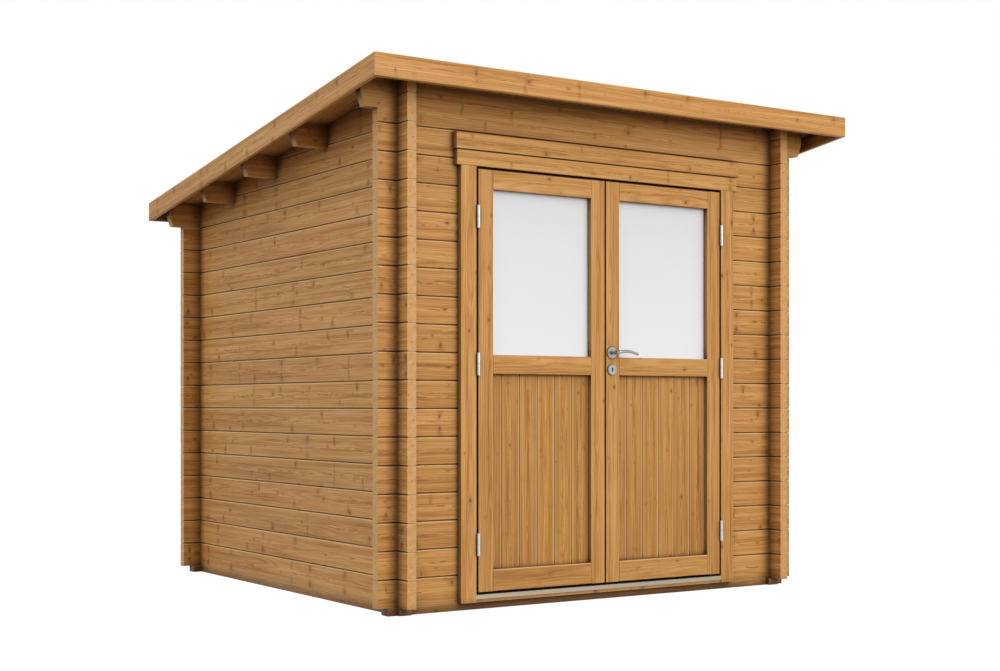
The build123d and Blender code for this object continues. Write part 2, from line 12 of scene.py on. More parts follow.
import bpy
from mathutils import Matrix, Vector


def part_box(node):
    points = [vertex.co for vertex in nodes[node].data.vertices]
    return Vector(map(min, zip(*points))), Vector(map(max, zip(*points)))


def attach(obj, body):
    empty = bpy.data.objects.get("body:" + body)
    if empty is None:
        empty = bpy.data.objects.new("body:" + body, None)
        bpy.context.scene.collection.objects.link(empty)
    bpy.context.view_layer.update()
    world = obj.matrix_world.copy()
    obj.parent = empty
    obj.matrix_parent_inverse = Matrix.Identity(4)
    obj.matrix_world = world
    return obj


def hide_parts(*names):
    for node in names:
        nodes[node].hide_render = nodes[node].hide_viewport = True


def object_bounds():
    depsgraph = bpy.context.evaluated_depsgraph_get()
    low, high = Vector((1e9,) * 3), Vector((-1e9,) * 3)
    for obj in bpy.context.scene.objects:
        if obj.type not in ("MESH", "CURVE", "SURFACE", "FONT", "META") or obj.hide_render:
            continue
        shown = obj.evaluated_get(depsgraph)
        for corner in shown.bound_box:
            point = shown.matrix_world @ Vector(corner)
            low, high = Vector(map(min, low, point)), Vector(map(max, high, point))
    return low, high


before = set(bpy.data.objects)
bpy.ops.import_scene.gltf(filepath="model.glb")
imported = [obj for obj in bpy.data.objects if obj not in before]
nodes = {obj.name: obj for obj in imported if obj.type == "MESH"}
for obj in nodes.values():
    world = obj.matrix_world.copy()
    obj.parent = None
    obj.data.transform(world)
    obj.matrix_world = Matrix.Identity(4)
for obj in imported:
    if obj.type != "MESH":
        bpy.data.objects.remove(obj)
cad_low, cad_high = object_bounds()
print("pieces in the frame:", len(nodes))

# %% [markdown]
# Lengths on a building site are in millimetres, and Blender counts in metres. One value
# turns the first into the second, so that every size below can be written as a joiner would.

# %% Units and the places that everything else is measured from
MM = 0.001
PHOTO_WIDTH = 1000
PHOTO_HEIGHT = 671

ground = cad_low.z
wall_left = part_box("left_wall")[0].x
wall_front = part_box("front_wall_over_door")[0].y
print("front wall plane:", round(wall_front, 3), "left wall plane:", round(wall_left, 3))

# %% [markdown]
# The picture was taken with a level camera, so upright lines stay upright, and the horizon
# is below the middle of the frame. In Blender that is a camera with no tilt and a little
# vertical shift. Its distance and lens came from matching the edges of the walls.

# %% Camera
FOCAL_PIXELS = 1564.57
HORIZON_ROW = 405.25
AXIS_COLUMN = 499.3
CAMERA_YAW = 33.35
CAMERA_FROM_CORNER = Vector((-3262, -5738, 887)) * MM
SENSOR_WIDTH = 36.0

camera_data = bpy.data.cameras.new("camera")
camera_data.sensor_width = SENSOR_WIDTH
camera_data.lens = FOCAL_PIXELS / PHOTO_WIDTH * SENSOR_WIDTH
camera_data.shift_x = (PHOTO_WIDTH / 2 - AXIS_COLUMN) / PHOTO_WIDTH
camera_data.shift_y = (HORIZON_ROW - PHOTO_HEIGHT / 2) / PHOTO_WIDTH
camera_data.clip_start = 0.05
camera_data.clip_end = 200
camera = bpy.data.objects.new("camera", camera_data)
bpy.context.scene.collection.objects.link(camera)
camera.location = Vector((wall_left, wall_front, ground)) + CAMERA_FROM_CORNER
camera.rotation_euler = (math.radians(90), 0, math.radians(-CAMERA_YAW))
bpy.context.scene.camera = camera
bpy.context.scene.view_settings.view_transform = "Standard"
print("lens:", round(camera_data.lens, 1), "mm")

# %% [markdown]
# Colours are written as sRGB hex values, the way a paint chart gives them. Blender's shaders
# want linear light, so one function does the conversion.

# %% Colour from a hex value


def linear(hex_colour, alpha=1.0):
    """A linear RGBA colour from an sRGB hex value such as "B98A55"."""
    channels = [int(hex_colour[place:place + 2], 16) / 255 for place in (0, 2, 4)]
    straight = [c / 12.92 if c <= 0.04045 else ((c + 0.055) / 1.055) ** 2.4 for c in channels]
    return (*straight, alpha)


# %% [markdown]
# Every material below is a small network of nodes. The helper put adds one node, sets its
# options and fills its inputs. Each network has its own put, which adder makes. An input may
# be a plain value, one of a node's outputs, or a whole node, whose first output is linked.
# A node's kind is written without the "ShaderNode" that all of them start with, and the
# operation of a sum stands after it. Inputs follow in order, or by name in a dictionary.

# %% One function to add a node


def in_use(sockets, place):
    """The socket at a number, or the one in use that has a name."""
    if isinstance(place, int):
        return sockets[place]
    return next(socket for socket in sockets if socket.enabled and socket.name == place)


def adder(tree):
    """The function that adds nodes to a tree."""
    def put(kind, *inputs, **options):
        """Adds a node of a kind, with its options set and its inputs filled or linked."""
        kind, _, operation = kind.partition(" ")
        node = tree.nodes.new("ShaderNode" + kind)
        if operation:
            node.operation = operation
        for option, value in options.items():
            setattr(node, option, value)
        named = inputs and isinstance(inputs[0], dict)
        for place, value in inputs[0].items() if named else enumerate(inputs):
            if isinstance(value, bpy.types.Node):
                value = next(socket for socket in value.outputs if socket.enabled)
            if isinstance(value, bpy.types.NodeSocket):
                tree.links.new(value, in_use(node.inputs, place))
            else:
                in_use(node.inputs, place).default_value = value
        return node

    tree.nodes.clear()
    return put


def new_material(name):
    """A material without nodes, and the function that adds nodes to it."""
    material = bpy.data.materials.new(name)
    material.use_nodes = True
    return material, adder(material.node_tree)


# %% [markdown]
# ## Stage and light
#
# The shed stands on a plain white floor in even, soft light, as under a bright overcast sky.
# The backdrop should be white in the picture, but more light would bleach the wood. So the sky
# and the floor ask what kind of ray has reached them: the camera, also by way of a mirror or
# a pane, gets white, and the shed gets the plain light that its colours are made for.

# %% What the camera sees


def seen_directly(put):
    """1 for what the camera sees, also in a mirror or through glass, and 0 for other light."""
    rays = put("LightPath").outputs
    seen = rays["Is Camera Ray"]
    for other in ("Is Glossy Ray", "Is Transmission Ray"):
        seen = put("Math MAXIMUM", seen, rays[other])
    return seen


# %% Sky
SKY_STRENGTH = 0.95
BACKDROP_STRENGTH = 1.0

world = bpy.data.worlds.new("sky")
bpy.context.scene.world = world
world.use_nodes = True
put = adder(world.node_tree)
strength = put("MapRange", {
    "Value": seen_directly(put), "To Min": SKY_STRENGTH, "To Max": BACKDROP_STRENGTH})
dome = put("Background", {"Color": linear("FFFFFF"), "Strength": strength})
put("OutputWorld", {"Surface": dome})
print("sky strength:", SKY_STRENGTH)

# %% [markdown]
# The floor is a sheet of matt paper. To the camera most of it glows a little above white, and
# the rest takes the shed's shadow. What it throws back on the shed is a warm grey, as from
# dry ground, so that the undersides keep their depth.

# %% Floor
FLOOR_SIZE = 60.0
FLOOR_DROP = 0.5 * MM
SHADOW_SHARE = 0.25
FLOOR_GLOW = 1.2

floor_mesh = bpy.data.meshes.new("floor")
reach = FLOOR_SIZE / 2
floor_mesh.from_pydata([(-reach, -reach, 0), (reach, -reach, 0), (reach, reach, 0),
                        (-reach, reach, 0)], [], [(0, 1, 2, 3)])
floor = bpy.data.objects.new("floor", floor_mesh)
floor.location.z = ground - FLOOR_DROP
bpy.context.scene.collection.objects.link(floor)

floor_paper, put = new_material("white_floor_paper")
seen = seen_directly(put)
shade = put("Mix", {
    "Factor": seen, "A": linear("74706C"), "B": linear("F4F4F4")}, data_type="RGBA")
matt = put("BsdfDiffuse", {"Color": shade})
glow = put("Emission", {"Color": linear("FFFFFF"), "Strength": FLOOR_GLOW})
glowing = put("Math MULTIPLY", seen, 1 - SHADOW_SHARE)
mixed = put("MixShader", glowing, matt, glow)
put("OutputMaterial", {"Surface": mixed})
floor_mesh.materials.append(floor_paper)
print("floor:", FLOOR_SIZE, "m wide")

# %% [markdown]
# A wide lamp in front of the door makes that face a little brighter than the side, and a
# weaker one at the left shapes the side. Both are metres wide, so their shadows are soft.

# %% Lamps
SHED_MIDDLE = Vector((0, 0, 1.0))


def lamp(name, place, size, power, colour):
    """A square area lamp of a size in metres at a place, aimed at the shed."""
    data = bpy.data.lights.new(name, "AREA")
    data.size = size
    data.energy = power
    data.color = linear(colour)[:3]
    lamp_object = bpy.data.objects.new(name, data)
    lamp_object.location = place
    aim = SHED_MIDDLE - Vector(place)
    lamp_object.rotation_euler = aim.to_track_quat("-Z", "Y").to_euler()
    bpy.context.scene.collection.objects.link(lamp_object)
    print(name, "gives", power, "W")


lamp("front_lamp", (1.4, -9.5, 3.5), size=5.5, power=352, colour="FFFAF2")
lamp("left_lamp", (-9.5, -1.5, 4.5), size=7.0, power=115, colour="F6FAFF")

# %% [markdown]
# ## Stained softwood
#
# The logs, posts and boards are planed pine under a honey-brown translucent stain. A stain
# lets the grain through: soft streaks along the board, the growth rings that surface as long
# flames, small round knots, and the smears of knots that were sawn along their length.
#
# All of that can be worked out from where a point lies in its board, so the first helpers
# turn a point into three distances, called u, v and w below: along the grain, across the
# board and through it. The distance from the board's own middle line is called t.

# %% Where a point lies in its board


def board_frame(put, along, across):
    """Distances of a point along the grain, across the board and through it, in metres."""
    place = put("TexCoord").outputs["Object"]
    through = Vector(along).cross(Vector(across))
    return [put("VectorMath DOT_PRODUCT", place, tuple(direction))
            for direction in (along, across, through)]


def stacked_boards(put, v, pitch, first_edge):
    """For boards that repeat at a pitch: a board's number, and how far its middle line is."""
    count = put("Math DIVIDE", put("Math SUBTRACT", v, first_edge), pitch)
    centred = put("Math SUBTRACT", put("Math FRACT", count), 0.5)
    return put("Math FLOOR", count), put("Math MULTIPLY", centred, pitch)


def listed_boards(put, v, spans):
    """For boards with known low and high edges: a board's number, and its middle's distance."""
    middles = [(low + high) / 2 for low, high in spans]
    number = 0.0
    offset = put("Math SUBTRACT", v, middles[0])
    for place in range(1, len(spans)):
        border = (spans[place - 1][1] + spans[place][0]) / 2
        passed = put("Math GREATER_THAN", v, border)
        number = put("Math ADD", number, passed)
        step = middles[place - 1] - middles[place]
        offset = put("Math MULTIPLY_ADD", passed, step, offset)
    return number, offset


# %% [markdown]
# A round knot is a branch cut straight across. Each cell of a Voronoi pattern holds at most
# one. The grain bends round a knot, so this helper also gives a push that fades with the
# distance, and the growth rings are moved by it. The three reaches are in knot radii.

# %% Round knots
KNOT_SPACING_ALONG = 260 * MM
KNOT_SPACING_ACROSS = 60 * MM
KNOT_SQUEEZE = 0.7
KNOT_RADIUS = 8 * MM
SMALLEST_KNOT = 0.5 * MM
KNOT_SHARE = 0.72
FAINTEST_KNOT = 0.15
CORE_REACH = (0.35, 1.05)
HALO_REACH = (0.8, 2.8)
PUSH_REACH = (0.0, 3.0)


def round_knots(put, u, v, seed):
    """Masks of the knots' cores and of their halos, and the push on the grain beside them."""
    cells_along = put("Math ADD", put("Math DIVIDE", u, KNOT_SPACING_ALONG), seed)
    cells = put("CombineXYZ", cells_along, put("Math DIVIDE", v, KNOT_SPACING_ACROSS))
    nearest = put("TexVoronoi", {
        "Vector": cells, "Scale": 1.0, "Randomness": 0.85}, voronoi_dimensions="2D",
        feature="F1").outputs
    away = put("VectorMath SUBTRACT", cells, nearest["Position"])
    in_metres = (KNOT_SPACING_ALONG * KNOT_SQUEEZE, KNOT_SPACING_ACROSS, 0)
    away = put("VectorMath MULTIPLY", away, in_metres)
    distance = put("VectorMath LENGTH", away)
    chance = put("SeparateColor", {"Color": nearest["Color"]})
    radius = put("MapRange", {
        "Value": chance, "From Min": 1 - KNOT_SHARE, "From Max": 1.0, "To Min": SMALLEST_KNOT,
        "To Max": KNOT_RADIUS})
    strength = put("MapRange", {
        "Value": chance.outputs[1], "To Min": FAINTEST_KNOT, "To Max": 1.0})
    ratio = put("Math DIVIDE", distance, radius)
    masks = []
    for (full, none), height in ((CORE_REACH, strength), (HALO_REACH, strength),
                                 (PUSH_REACH, radius)):
        fade = put("MapRange", {
            "Value": ratio, "From Min": full, "From Max": none, "To Min": 1.0, "To Max": 0.0},
            interpolation_type="SMOOTHSTEP")
        masks.append(put("Math MULTIPLY", fade, height))
    return masks


# %% [markdown]
# A log that was sawn through the heart of the tree shows its branches lengthwise. Each one
# starts as a point at the log's middle line and widens to the edge, as a grey-brown smear
# across the grain. Some show only above the line and some only below. Each stretch of log is
# a cell with at most one, and a roll of dice for the cell says where it stands and how wide.

# %% The places of spike knots
SPIKE_SPACING = 300 * MM
SPIKE_RIPPLE = 0.035
RIPPLES_PER_METRE = 34.0
LANE_SHIFT = 0.37
CELL_MARGIN = 0.15


def spike_places(put, u, t, number):
    """How far along its cell a point is from the knot, and the cell's dice."""
    lane = put("Math MULTIPLY", number, LANE_SHIFT)
    cell = put("Math MULTIPLY_ADD", u, 1 / SPIKE_SPACING, lane)
    key = put("CombineXYZ", put("Math FLOOR", cell), number)
    dice = put("TexWhiteNoise", {"Vector": key}, noise_dimensions="2D").outputs
    chance = put("SeparateColor", {"Color": dice["Color"]}).outputs
    share = put("Math FRACT", cell)
    centre = put("MapRange", {
        "Value": chance[0], "To Min": CELL_MARGIN, "To Max": 1 - CELL_MARGIN})
    off = put("Math SUBTRACT", share, centre)
    point = put("CombineXYZ", u, t, number)
    ripple = put("TexNoise", {"Vector": point, "Scale": RIPPLES_PER_METRE, "Detail": 3.0})
    bent = put("MapRange", {"Value": ripple, "To Min": -SPIKE_RIPPLE, "To Max": SPIKE_RIPPLE})
    off = put("Math ADD", off, bent)
    return put("Math ABSOLUTE", off), chance, dice["Value"]


# %% [markdown]
# The smear is darkest on the knot's middle line. It fades near the log's heart, where the
# branch was a twig, and again at the log's edge. A wide spike also has a dark eye, the
# branch's own pith.

# %% Spike knots
SPIKE_HALF_WIDTH = 42 * MM
SPIKE_SHARE = 0.72
NARROWEST_SPIKE = 0.35
FAINTEST_SPIKE = 0.45
EYE_RADIUS = 8 * MM
EYE_SQUEEZE = (0.8, 0.5)


def spike_knots(put, u, t, half_board, number):
    """Masks of the knots that were sawn along their length, and of their eyes."""
    off, chance, luck = spike_places(put, u, t, number)
    reach = put("Math DIVIDE", put("Math ABSOLUTE", t), half_board)
    width = put("MapRange", {"Value": chance[1], "To Min": NARROWEST_SPIKE, "To Max": 1.0})
    taper = put("MapRange", {"Value": reach, "To Min": 0.25, "To Max": 1.0})
    widest = put("Math MULTIPLY", taper, SPIKE_HALF_WIDTH / SPIKE_SPACING)
    half_width = put("Math MULTIPLY", width, widest)
    ratio = put("Math DIVIDE", off, half_width)
    smear = put("MapRange", {
        "Value": ratio, "From Min": 0.0, "From Max": 1.5, "To Min": 1.0, "To Max": 0.0},
        interpolation_type="SMOOTHSTEP")
    side = put("Math SIGN", t)
    leaning = put("MapRange", {"Value": chance[2], "To Min": -1.0, "To Max": 1.0})
    agrees = put("Math MULTIPLY", side, leaning)
    shown = put("MapRange", {"Value": agrees, "From Min": -0.35, "From Max": -0.2})
    present = put("Math LESS_THAN", luck, SPIKE_SHARE)
    grade = put("MapRange", {
        "Value": luck, "From Max": SPIKE_SHARE, "To Min": FAINTEST_SPIKE, "To Max": 1.0})
    inner = put("MapRange", {
        "Value": reach, "From Min": 0.05, "From Max": 0.5, "To Min": 0.2, "To Max": 1.0})
    outer = put("MapRange", {
        "Value": reach, "From Min": 0.7, "From Max": 0.98, "To Min": 1.0, "To Max": 0.45})
    eye_place = put("MapRange", {
        "Value": width, "From Min": NARROWEST_SPIKE, "To Min": 0.25, "To Max": 0.75})
    beyond = put("Math SUBTRACT", reach, eye_place)
    beyond = put("Math MULTIPLY", beyond, EYE_SQUEEZE[1] * half_board)
    beside = put("Math MULTIPLY", off, EYE_SQUEEZE[0] * SPIKE_SPACING)
    distance = put("VectorMath LENGTH", put("CombineXYZ", beside, beyond))
    eye = put("MapRange", {
        "Value": distance, "From Min": 0.15 * EYE_RADIUS, "From Max": EYE_RADIUS, "To Min": 1.0,
        "To Max": 0.0}, interpolation_type="SMOOTHSTEP")
    for limit in (shown, present, grade):
        smear = put("Math MULTIPLY", smear, limit)
        eye = put("Math MULTIPLY", eye, limit)
    for limit in (inner, outer):
        smear = put("Math MULTIPLY", smear, limit)
    return smear, eye


# %% [markdown]
# Along the middle of each log runs the heart of the tree. It shows as a wavering line of
# short dashes, orange-brown ones and, a few millimetres beside them, pale ones.

# %% Heart flecks
FLECK_HALF_WIDTH = 4.2 * MM
FLECK_LENGTH = 58 * MM
HEART_SWAY = 26 * MM
SWAYS_PER_METRE = 3.6
STRETCHES_PER_METRE = 2.2


def heart_flecks(put, u, t, number, shift):
    """A mask of short dashes along the middle line of each board, shifted in millimetres."""
    lane = put("CombineXYZ", u, number, shift)
    sway = put("TexNoise", {"Vector": lane, "Scale": SWAYS_PER_METRE, "Detail": 3.0})
    swung = put("MapRange", {"Value": sway, "To Min": -HEART_SWAY, "To Max": HEART_SWAY})
    off = t
    for step in (swung, shift * MM):
        off = put("Math ADD", off, step)
    off = put("Math ABSOLUTE", off)
    line = put("MapRange", {
        "Value": off, "From Min": 0.2 * FLECK_HALF_WIDTH, "From Max": FLECK_HALF_WIDTH,
        "To Min": 1.0, "To Max": 0.0}, interpolation_type="SMOOTHSTEP")
    dash = put("TexNoise", {
        "Vector": lane, "Scale": 1 / FLECK_LENGTH, "Detail": 3.0, "Roughness": 0.7})
    dashes = put("MapRange", {
        "Value": dash, "From Min": 0.46, "From Max": 0.6}, interpolation_type="SMOOTHSTEP")
    stretch = put("TexNoise", {"Vector": lane, "Scale": STRETCHES_PER_METRE, "Detail": 0.0})
    clear = put("MapRange", {"Value": stretch, "From Min": 0.38, "From Max": 0.5})
    for limit in (dashes, clear):
        line = put("Math MULTIPLY", line, limit)
    return line


# %% [markdown]
# Growth rings are circles round the heart of the tree, so a ring's number follows from the
# distance to the heart. Real rings are 2 to 4 mm apart, too fine to show at this distance, so
# they are drawn 8 mm apart. The heart wanders a little along the log, and that is what turns
# straight rings into flames on the face.

# %% Distance from the heart of the tree
LANE_STEP = 5.3
SWINGS_PER_METRE = 1.3
HEART_SHIFT = 0.3


def from_the_heart(put, u, t, through, number, chance, push, pitch):
    """How far a point is aside from the heart of the tree, and how far in all."""
    place = put("CombineXYZ", u, put("Math MULTIPLY", number, LANE_STEP))
    sway = put("TexNoise", {
        "Vector": place, "Scale": SWINGS_PER_METRE, "Detail": 2.0}, noise_dimensions="2D")
    swung = put("MapRange", {"Value": sway, "To Min": -HEART_SWAY, "To Max": HEART_SWAY})
    shift = HEART_SHIFT * pitch
    sideways = put("MapRange", {"Value": chance, "To Min": -shift, "To Max": shift})
    aside = t
    for step in (sideways, push):
        aside = put("Math ADD", aside, step)
    offset = put("CombineXYZ", aside, put("Math ADD", through, swung))
    return aside, put("VectorMath LENGTH", offset)


# %% [markdown]
# Between the rings lie soft streaks, long along the board, and fine fibres. Both are random
# patterns, squeezed across the board. Real fibres are finer than a millimetre, and are drawn
# 2.6 mm wide to show.

# %% Rings, streaks and fibres
RING_PITCH = 8 * MM
RING_ROUGHNESS = 9 * MM
BUMPS_PER_METRE = (3.0, 22.0, 22.0)
STREAK_WIDTH = 24 * MM
STREAKS_PER_METRE = 1.1
FIBRE_WIDTH = 2.6 * MM
FIBRES_PER_METRE = 9.0
TURN = 2 * math.pi


def random_pattern(put, point, per_metre, detail, roughness=0.5, shift=(0, 0, 0)):
    """A soft random pattern with so many spots a metre along each of three directions."""
    scaled = put("VectorMath MULTIPLY_ADD", point, per_metre, shift)
    return put("TexNoise", {
        "Vector": scaled, "Scale": 1.0, "Detail": detail, "Roughness": roughness})


def grain_marks(put, u, v, w, aside, radius, shift):
    """Growth rings, streaks and fibres, each from 0 to 1."""
    straight = put("CombineXYZ", u, v, w)
    rough = random_pattern(put, straight, BUMPS_PER_METRE, 3.0)
    uneven = put("Math MULTIPLY_ADD", rough, RING_ROUGHNESS, radius)
    phase = put("Math MULTIPLY", uneven, TURN / RING_PITCH)
    rings = put("MapRange", {"Value": put("Math SINE", phase), "From Min": -1.0, "From Max": 1.0})
    bent = put("CombineXYZ", u, aside, w)
    streaks = random_pattern(put, bent, (STREAKS_PER_METRE, 1 / STREAK_WIDTH, 1 / STREAK_WIDTH),
                             4.0, 0.6, shift)
    fibres = random_pattern(put, bent, (FIBRES_PER_METRE, 1 / FIBRE_WIDTH, 1 / FIBRE_WIDTH), 2.0)
    return rings, streaks, fibres


# %% [markdown]
# A log's bevelled edge catches the light, and that is painted into the colour: its arris is a
# thin pale line, a painted highlight, clearer on the upper edge, which faces the light from above.
# Where two boards meet, the joint is a thin dark line.

# %% Painted edge highlights and joints
HIGHLIGHT_LINE = (0.8 * MM, 3.4 * MM)
HIGHLIGHT_BELOW = 0.25
HIGHLIGHT_ABOVE = 0.85
JOINT_LINE = (0.4 * MM, 2.2 * MM)


def edge_marks(put, t, pitch, edge, joint):
    """Masks of the painted highlight a distance from a board's edges, and of the joint."""
    inward = put("Math SUBTRACT", pitch / 2, put("Math ABSOLUTE", t))
    rim = put("Math ABSOLUTE", put("Math SUBTRACT", inward, edge))
    # Painted highlight: the pale line is stronger on a board's upper edge, which faces the light.
    upper = put("MapRange", {
        "Value": t, "From Min": -MM, "From Max": MM, "To Min": HIGHLIGHT_BELOW, "To Max": HIGHLIGHT_ABOVE})
    masks = []
    for off, (full, none), height in ((rim, HIGHLIGHT_LINE, upper), (inward, JOINT_LINE, joint)):
        fade = put("MapRange", {
            "Value": off, "From Min": full, "From Max": none, "To Min": 1.0, "To Max": 0.0},
            interpolation_type="SMOOTHSTEP")
        masks.append(put("Math MULTIPLY", fade, height))
    return masks


# %% [markdown]
# Stain is laid on like glazes, one over another. This helper does the same with masks: each
# layer has a mask, a strength and a tint, and a tint may be a hex value or another colour.

# %% Layers of stain


def layered(put, colour, layers):
    """A colour with tints over it, one on another, each as strong as its mask and strength."""
    for mask, strength, tint in layers:
        amount = put("Math MULTIPLY", mask, strength)
        if isinstance(tint, str):
            tint = linear(tint)
        colour = put("Mix", {"Factor": amount, "A": colour, "B": tint}, data_type="RGBA")
    return colour


# %% [markdown]
# A log's end shows the rings as a target: a paler, thirstier wood with the dark pith in its
# middle. A face that looks along the grain is an end, so the surface's own direction tells.

# %% End grain
PITH_RADIUS = 4.5 * MM
PITH_STRENGTH = 0.7
END_TURN = (0.75, 0.9)


def end_grain(put, along, radius, streaks, crack):
    """A mask of the sawn ends of a board, and the colour that they have."""
    facing = put("TexCoord").outputs["Normal"]
    endwise = put("Math ABSOLUTE", put("VectorMath DOT_PRODUCT", facing, tuple(along)))
    end = put("MapRange", {"Value": endwise, "From Min": END_TURN[0], "From Max": END_TURN[1]})
    pith = put("MapRange", {
        "Value": radius, "From Min": 0.3 * PITH_RADIUS, "From Max": PITH_RADIUS,
        "To Min": PITH_STRENGTH, "To Max": 0.0}, interpolation_type="SMOOTHSTEP")
    layers = ((streaks, 1.0, "BE8E55"), (pith, 1.0, "6F4117"), (crack, 0.6, "5A3410"))
    return end, layered(put, linear("E4B579"), layers)


# %% [markdown]
# The finish itself: planed pine with a translucent stain, satin to the touch. Its index of
# refraction is that of a common varnish, 1.5, but a stain soaks in and leaves little film, so
# it mirrors less. In a nook, such as the V groove between two logs, little light comes in, and
# that shade is painted into the colour as a deeper brown. Ambient occlusion measures how closed
# in a point is, from all sides alike, and sets how much painted shade a point gets.

# %% Stained pine
HONEY = ("E0AD6E", "C38D4B", "8E5620")
GRAIN_WEIGHTS = (0.12, 0.85, 0.34)
RELIEF_WEIGHTS = (0.25, 1.0, 0.6)
GRAIN_RANGE = (0.36, 0.98)
TONE_RANGE = (0.93, 1.05)
HUE_RANGE = (0.498, 0.502)
GLOSS_RANGE = (0.46, 0.62)
PALE_SHIFT = 3.5
# Painted shade in nooks: how far ambient occlusion looks, the range it is read over, and how far
# it darkens the colour.
NOOK_SHADE_REACH = 90 * MM
NOOK_SHADE_RANGE = (0.42, 0.88)
NOOK_SHADE_DEPTH = 0.9


def weighted(put, marks, weights):
    """The sum of several marks, each times its weight."""
    total = 0.0
    for mark, weight in zip(marks, weights):
        total = put("Math MULTIPLY_ADD", mark, weight, total)
    return total


def stained_pine(name, along, across, depth, boards, seed=0.0, heart=0.0, edge=0.0, flecks=0.8,
                 spikes=0.55, joint=0.0, palette=HONEY):
    """Planed softwood with a honey-brown stain, for boards that run along a direction."""
    material, put = new_material(name)
    u, v, w = board_frame(put, along, across)
    if isinstance(boards, tuple):
        pitch, first_edge = boards
        number, t = stacked_boards(put, v, pitch, first_edge)
    else:
        pitch = max(high - low for low, high in boards)
        number, t = listed_boards(put, v, boards)
    number = put("Math ADD", number, seed)
    dice = put("TexWhiteNoise", {"W": number}, noise_dimensions="1D").outputs["Color"]
    chance = put("SeparateColor", {"Color": dice}).outputs

    core, halo, push = round_knots(put, u, v, seed)
    through = put("Math SUBTRACT", w, depth - heart)
    aside, radius = from_the_heart(put, u, t, through, number, chance[0], push, pitch)
    marks = grain_marks(put, u, v, w, aside, radius, dice)
    dark = weighted(put, marks, GRAIN_WEIGHTS)
    grain = put("MapRange", {
        "Value": dark, "From Min": GRAIN_RANGE[0], "From Max": GRAIN_RANGE[1]})
    ramp = put("ValToRGB", {"Fac": grain})
    stops = ramp.color_ramp.elements
    stops[0].color = linear(palette[0])
    stops[1].color = linear(palette[2])
    stops.new(0.5).color = linear(palette[1])
    tone, hue, gloss = (put("MapRange", {"Value": value, "To Min": low, "To Max": high})
                        for value, (low, high) in ((chance[1], TONE_RANGE),
                                                   (chance[2], HUE_RANGE), (grain, GLOSS_RANGE)))
    board = put("HueSaturation", {"Hue": hue, "Value": tone, "Color": ramp})

    spike, eye = spike_knots(put, u, t, pitch / 2, number)
    pale, brown = (heart_flecks(put, u, t, number, shift) for shift in (PALE_SHIFT, 0.0))
    # The first mask from edge_marks is a painted highlight along the board's edges.
    edge_highlight, crack = edge_marks(put, t, pitch, edge, joint)
    end, end_colour = end_grain(put, along, radius, marks[1], crack)
    # Painted shade: where ambient occlusion finds a nook, the colour is darkened towards dark
    # brown.
    nook = put("AmbientOcclusion", {"Distance": NOOK_SHADE_REACH}, samples=8).outputs["AO"]
    painted_nook_shade = put("MapRange", {
        "Value": nook, "From Min": NOOK_SHADE_RANGE[0], "From Max": NOOK_SHADE_RANGE[1], "To Min": NOOK_SHADE_DEPTH,
        "To Max": 0.0})
    colour = layered(put, board, (
        (spike, spikes, "7C4A14"), (pale, 0.8 * flecks, "E4AE68"), (brown, flecks, "9A5A22"),
        (eye, 1.4 * spikes, "6A3A10"), (halo, 0.42, "9A5C22"), (core, 0.75, "5F3717"),
        (edge_highlight, 1.0, "EEC68C"), (crack, 1.0, "341803"), (end, 0.85, end_colour),
        (painted_nook_shade, 1.0, "3A1900")))

    bump = put("Bump", {
        "Strength": 0.35, "Distance": 0.5 * MM, "Height": weighted(put, marks, RELIEF_WEIGHTS)})
    wood = put("BsdfPrincipled", {
        "Base Color": colour, "Roughness": gloss, "IOR": 1.5, "Specular IOR Level": 0.25,
        "Normal": bump})
    put("OutputMaterial", {"Surface": wood})
    return material


# %% [markdown]
# A piece's own mesh tells where its boards lie, so the helper below measures the piece before
# it dresses it. Pieces that carry one run of logs share a material, so that the grain goes on
# from one to the next. A seed picks which knots and streaks a piece gets.

# %% Measure a piece and dress it in pine
UP = Vector((0, 0, 1))
RIGHTWARDS = Vector((1, 0, 0))
BACKWARDS = Vector((0, 1, 0))


def extent(node_name, direction):
    """The lowest and highest places of a piece along a direction."""
    places = [vertex.co.dot(direction) for vertex in nodes[node_name].data.vertices]
    return min(places), max(places)


def finish(node_name, material):
    """Gives a piece one material in place of the one it came with."""
    mesh = nodes[node_name].data
    mesh.materials.clear()
    mesh.materials.append(material)


def pine(node_names, along, across, boards=None, **look):
    """Stained pine for pieces whose boards run the same way, from the first one's extents."""
    through = along.cross(across)
    low, high = extent(node_names[0], through)
    if boards is None:
        boards = [extent(node_names[0], across)]
    material = stained_pine("stained_pine_" + node_names[0], along, across, (low + high) / 2,
                            boards, **look)
    for node_name in node_names:
        finish(node_name, material)


# %% [markdown]
# The walls are stacks of logs of one height. Their V grooves get a painted highlight line a
# few millimetres from each edge and a dark joint in the groove's depth.

# %% Log walls
LOG_PITCH = 120 * MM
LOG_BEVEL = 4.5 * MM

log_rows = (LOG_PITCH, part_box("front_wall_left")[0].z)
front_walls = ["front_wall_left", "front_wall_right", "front_wall_over_door"]
for names, along, seed in ((front_walls, RIGHTWARDS, 3), (["left_wall"], BACKWARDS, 41),
                           (["right_wall"], BACKWARDS, 73), (["back_wall"], RIGHTWARDS, 101)):
    pine(names, along, UP, log_rows, seed=seed, joint=0.8, edge=LOG_BEVEL)
print("first row of logs starts at", round(log_rows[1], 3), "m")

# %% [markdown]
# Beams and trim are single pieces. Those that lie have the flecks of a heart board. Posts and
# casings are sawn away from the heart, so they are plainer.

# %% Beams, posts and trim
SEED_STEP = 7
LYING = ("front_top_log", "back_top_log", "purlin_front", "purlin_middle", "purlin_back",
         "casing_head", "drip_board", "door_head", "door_sill", "fascia_front", "fascia_back",
         "foundation_front", "foundation_back", "floor_joists")
UPRIGHT = ("casing_left", "casing_right", "door_jamb_left", "door_jamb_right")
RUNNING_BACK = ("foundation_left", "foundation_right")
PLAIN = {"flecks": 0.0, "spikes": 0.0}

